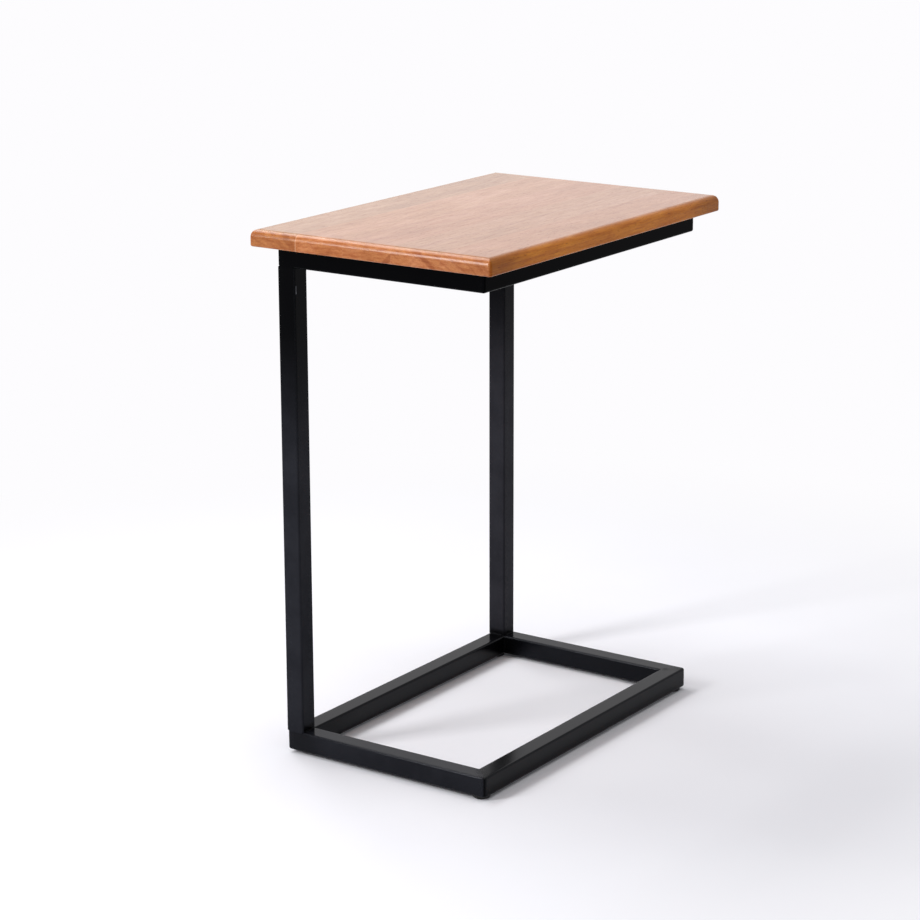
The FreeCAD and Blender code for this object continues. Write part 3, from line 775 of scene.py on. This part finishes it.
def mitredRail(kind, low, high):
    middle = (low + high) / 2
    run = 0 if high.x - low.x > high.y - low.y else 1
    half = coat["tube"] / 2
    outward = math.copysign(1, middle[1 - run])
    stations = [(-1, back) for back in rail["cuts"]]
    stations += [(1, back) for back in reversed(rail["cuts"])]
    bm = bmesh.new()
    skins = []
    for depth in (0, rail["wall"]):
        rings = []
        for end, back in stations:
            ring = []
            for out, rise in squareProfile(half - depth, coat["tubeRadius"] - depth):
                spot = Vector((0, 0, middle.z + rise))
                spot[run] = end * (frameHalf[run] - half + out - back)
                spot[1 - run] = middle[1 - run] + outward * out
                if kind == "base_rail":
                    easeFromBelow(spot, low.z, depth)
                groundCorner(spot, rail["groundRadius"][kind])
                if kind == "base_rail" and spot.x > 0 and depth == 0:
                    sinkSeam(spot, out, back, rise > half - coat["tubeRadius"] - rail["slack"])
                ring.append(bm.verts.new(spot * mm))
            rings.append(ring)
        skins.append(rings)
    outer, inner = skins
    for loops in (outer, inner, (outer[0], inner[0]), (outer[-1], inner[-1])):
        joinLoops(bm, loops)
    return bm


for name in sorted(n for n in nodes if "rail" in n or "upright" in n and "weld" not in n):
    low, high = (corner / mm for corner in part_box(name))
    sizes = list(high - low)
    kind = next(start for start in ("base_rail", "upright", "top_rail") if name.startswith(start))
    look = {**coat[kind], **coat["own"].get(name, {})}
    powder = coatMaterial(f"powder_coat_{name}", coat["tubeSeed"], look, (low + high) / 2,
                          sizes.index(max(sizes)))
    if kind == "upright":
        nodes[name].material_slots[0].material = powder
        continue
    bm = mitredRail(kind, low, high)
    markEdges(bm)
    tube = newPiece(f"{name}_tube", bm, powder, [name])
    if kind == "base_rail":
        stems = [(glideLow + glideHigh) / 2 / mm for glideLow, glideHigh in map(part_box, glideNodes)]
        drill(tube, [((stem.x, stem.y, low.z), holes["stemRadius"], holes["throughWall"])
                     for stem in stems])
    elif name in ("top_rail_front", "top_rail_rear"):
        x = math.copysign(holes["screwX"], low.x)
        for y in (-holes["screwY"], holes["screwY"]):
            drill(tube, [((x, y, low.z), holes["accessRadius"], holes["throughWall"]),
                         ((x, y, high.z), holes["shankRadius"], holes["throughWall"])])
    tube.modifiers.new("flatShading", "WEIGHTED_NORMAL").keep_sharp = True
weldCoat = coatMaterial("powder_coat_welds", coat["weldSeed"], coat["weld"])
seamCoat = coatMaterial("powder_coat_ground_seams", coat["flushSeed"], coat["flush"])
nodes["upright_flush_welds"].material_slots[0].material = seamCoat
print("frame mitred, ground, drilled and coated")

# Fillet welds under the coat: small beads with one ripple for each dip of the rod, thin at both ends
bead = {
    "leg": 1.5,
    "ebb": 0.06,         # a bead's legs shrink by this share between two ripples
    "crown": 0.16,
    "ripple": 1.3,
    "rippleHeight": 0.13,
    "lead": 0.7,         # the middle of a ripple runs ahead of its ends by this much
    "taper": 2.2,
    "blunt": 0.15,
    "sunk": 0.04,
    "across": 7,
    "stepsPerRipple": 6,
    "inset": 2.2,        # a bead stops this far short of the tube's rounded edges
    "phaseSteps": {"face": 0.37, "side": 0.53, "mitre": 0.41},   # each bead starts elsewhere in its ripple
}


# a bead from start to end, in the corner between two walls that stand off in directions wallA and wallB
def addBead(bm, start, end, wallA, wallB, phase):
    start, end, wallA, wallB = Vector(start), Vector(end), Vector(wallA), Vector(wallB)
    length = (end - start).length
    along = (end - start).normalized()
    out = (wallA + wallB).normalized()
    steps = round(length / bead["ripple"] * bead["stepsPerRipple"])
    rows = []
    for step in range(steps + 1):
        gone = length * step / steps
        nearest = min(gone, length - gone) + bead["blunt"]
        size = math.sqrt(min(1.0, nearest / bead["taper"]))
        row = []
        for index in range(bead["across"]):
            share = index / (bead["across"] - 1)
            bulge = 4 * share * (1 - share)
            wave = abs(math.sin(math.pi * ((gone - bead["lead"] * bulge) / bead["ripple"] + phase)))
            leg = bead["leg"] * size * (1 - bead["ebb"] + bead["ebb"] * wave)
            lift = (bead["crown"] + bead["rippleHeight"] * wave) * size * bulge
            spot = start + along * gone + (wallA * (1 - share) + wallB * share) * leg + out * lift
            spot -= (wallB * (1 - share) + wallA * share) * bead["sunk"] * (1 - bulge)
            row.append(bm.verts.new(spot * mm))
        row.append(bm.verts.new((start + along * gone - (wallA + wallB) * bead["sunk"]) * mm))
        rows.append(row)
    joinLoops(bm, rows)
    bm.faces.new(rows[0])
    bm.faces.new(rows[-1][::-1])


# around both ends of each upright, on its face to the front and on the one to the other upright
bm = bmesh.new()
inset = bead["inset"]
turn = 0
for side in (-1, 1):
    inner, outer = side * uprightSide, side * uprightOuter
    for z, away in ((railTop, 1), (railUnder, -1)):
        turn += 1
        addBead(bm, (uprightFace, inner + side * inset, z), (uprightFace, outer - side * inset, z),
                (0, 0, away), (1, 0, 0), turn * bead["phaseSteps"]["face"])
        addBead(bm, (uprightRear + inset, inner, z), (uprightFace - inset, inner, z),
                (0, 0, away), (0, -side, 0), turn * bead["phaseSteps"]["side"])
newPiece("rippled_upright_beads", bm, weldCoat, ["upright_weld_beads"])
# up the inner corners of both rectangles
bm = bmesh.new()
for name in ("base_rail_rear", "top_rail_rear"):
    low, high = (corner.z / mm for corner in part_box(name))
    for sideX in (-1, 1):
        for sideY in (-1, 1):
            turn += 1
            x, y = sideX * innerHalf, sideY * uprightSide
            addBead(bm, (x, y, low + inset), (x, y, high - inset), (-sideX, 0, 0), (0, -sideY, 0),
                    turn * bead["phaseSteps"]["mitre"])
newPiece("rippled_mitre_beads", bm, weldCoat, ["mitre_weld_beads"])
print("weld beads laid")

# A run of powder that slid down the left upright before it set, just inside its outer edge; its pale grey
# colour is a painted highlight
drip = {
    "edgeOffset": 2.6,
    "from": 518.0,
    "to": 508.0,
    "thin": 0.3,
    "thick": 0.62,
    "tip": 0.01,
    "swelling": 2.2,     # how late it swells on its way down
    "leadIn": 0.12,      # shares of its length
    "roundFrom": 0.86,
    "proud": 0.5,
    "rings": 18,
    "segments": 10,
}
bm = bmesh.new()
rings = []
for step in range(drip["rings"] + 1):
    down = step / drip["rings"]
    radius = drip["thin"] + (drip["thick"] - drip["thin"]) * down ** drip["swelling"]
    rounded = max(0.0, (down - drip["roundFrom"]) / (1 - drip["roundFrom"]))
    radius *= math.sqrt(max(0.0, 1 - rounded ** 2)) * min(1.0, down / drip["leadIn"])
    radius = max(radius, drip["tip"])
    ring = []
    for segment in range(drip["segments"]):
        angle = 2 * math.pi * segment / drip["segments"]
        ring.append(bm.verts.new(Vector((uprightFace + math.cos(angle) * radius * drip["proud"],
                                         -uprightOuter + drip["edgeOffset"] + math.sin(angle) * radius,
                                         drip["from"] + (drip["to"] - drip["from"]) * down)) * mm))
    rings.append(ring)
joinLoops(bm, rings)
bm.faces.new(rings[0])
bm.faces.new(rings[-1][::-1])
newPiece("powder_run", bm, coatMaterial("powder_coat_run", coat["runSeed"], coat["run"]))
print("powder run set")

# Moulded black polyethylene: softer and greyer than the coat, scuffed by the floor around its lower edge
glide = {
    "colour": "#131314",
    "scuffColour": "#3a3a3c",
    "scuffHeight": (1.4, 0.1),   # scuffs set in below the first height and are full at the second
    "scuffs": (0.42, 0.62),
    "roughness": (0.25, 0.45),   # added by scuffs, and without them
    "reliefDepth": 0.04,
    "reliefShows": 0.4,
    "seed": 41,
}
glidePatterns = {
    "mould": ((0.5, 0.5, 0.5), 2, 0.6),
    "scuff": ((2.5, 2.5, 0.4), 3, 0.7),
}


def glideMaterial():
    material, tree, shader = startMaterial("moulded_polyethylene", {"IOR": 1.5, "Specular IOR Level": 0.3})
    place, patterns = addPatterns(tree, glidePatterns, glide["seed"])
    height = addNode(tree, "SeparateXYZ", (place,)).outputs["Z"]
    low = addNode(tree, "MapRange", (height, *glide["scuffHeight"]), **soft)
    scuff = addNode(tree, "MapRange", (patterns["scuff"], *glide["scuffs"]), **soft)
    scuffed = addNode(tree, "Math", (low, scuff), operation="MULTIPLY")
    colour = addNode(tree, "Mix", {0: scuffed, 6: glide["colour"], 7: glide["scuffColour"]}, **blend)
    rough = addNode(tree, "Math", (scuffed, *glide["roughness"]), operation="MULTIPLY_ADD")
    bump = addNode(tree, "Bump", {"Height": patterns["mould"], "Strength": glide["reliefShows"],
                                  "Distance": glide["reliefDepth"] * mm})
    finishMaterial(tree, shader, {"Base Color": colour, "Roughness": rough, "Normal": bump})
    return material


plastic = glideMaterial()
for name in glideNodes:
    nodes[name].material_slots[0].material = plastic
print("glides moulded")

# Zinc plated steel with a clear passivation: bright grey with a faint warm cast and fine turning marks
screw = {
    "colour": "#b4b6b6",
    "castColour": "#c2bda8",
    "roughness": (0.3, 0.7, 0.24, 0.42),
    "reliefDepth": 0.02,
    "reliefShows": 0.3,
    "seed": 51,
}
screwPatterns = {
    "plate": ((0.7, 0.7, 0.7), 2, 0.6),
    "cloud": ((3, 3, 3), 2, 0.5),
}


def screwMaterial():
    material, tree, shader = startMaterial("zinc_plated_steel", {"Metallic": 1.0})
    plate, cloud = addPatterns(tree, screwPatterns, screw["seed"])[1].values()
    colour = addNode(tree, "Mix", {0: cloud, 6: screw["colour"], 7: screw["castColour"]}, **blend)
    rough = addNode(tree, "MapRange", (plate, *screw["roughness"]), **soft)
    bump = addNode(tree, "Bump", {"Height": plate, "Strength": screw["reliefShows"],
                                  "Distance": screw["reliefDepth"] * mm})
    finishMaterial(tree, shader, {"Base Color": colour, "Roughness": rough, "Normal": bump})
    return material


nodes["top_screws"].material_slots[0].material = screwMaterial()
print("screws plated")
